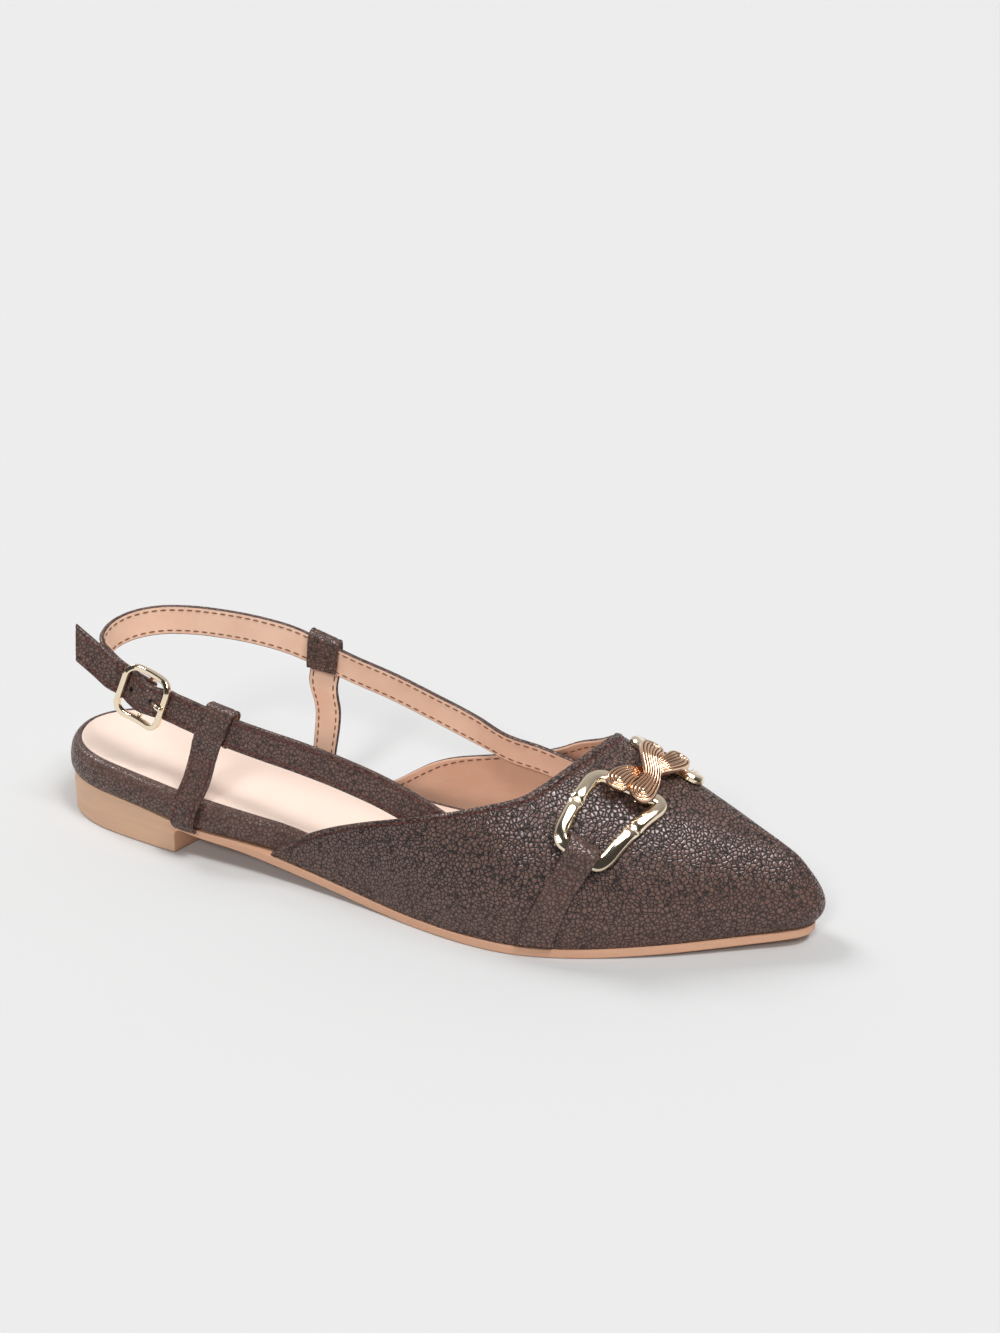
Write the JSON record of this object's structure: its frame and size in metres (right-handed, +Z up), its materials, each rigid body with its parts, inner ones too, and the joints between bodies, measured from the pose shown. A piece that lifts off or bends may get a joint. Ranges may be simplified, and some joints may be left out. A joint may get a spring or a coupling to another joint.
{
  "type": "pointed toe slingback flat shoe",
  "caption": "Right pointed-toe slingback flat in pebbled leather with a buckled heel strap, keeper tabs, a low heel and a chain ornament across the vamp.",
  "frame": {"origin": "middle of the bounding box on the floor plane under the sole", "axes": "+X from heel to toe, +Y to the wearer's left, which is the inner side of this right shoe, +Z up"},
  "size_m": [0.2648, 0.0808, 0.0729],
  "materials": {
    "leather": "pebbled, satin",
    "insole": "smooth, matt",
    "sole": "matt",
    "gold": "polished light gold",
    "rose_gold": "polished rose gold"
  },
  "bodies": {
    "root": {"sole": "sole", "insole": "insole", "vamp": "leather", "footbed": "leather", "sling_strap_lateral": "leather", "heel_strap": "leather", "keeper_tab_lateral": "leather", "keeper_tab_medial": "leather", "chain_strap_lateral": "leather", "chain_strap_medial": "leather", "buckle_frame": "gold", "buckle_prong": "gold", "link_lateral": "gold", "link_medial": "gold", "knot_band_under": "rose_gold", "knot_band_over": "rose_gold"}
  },
  "joints": []
}
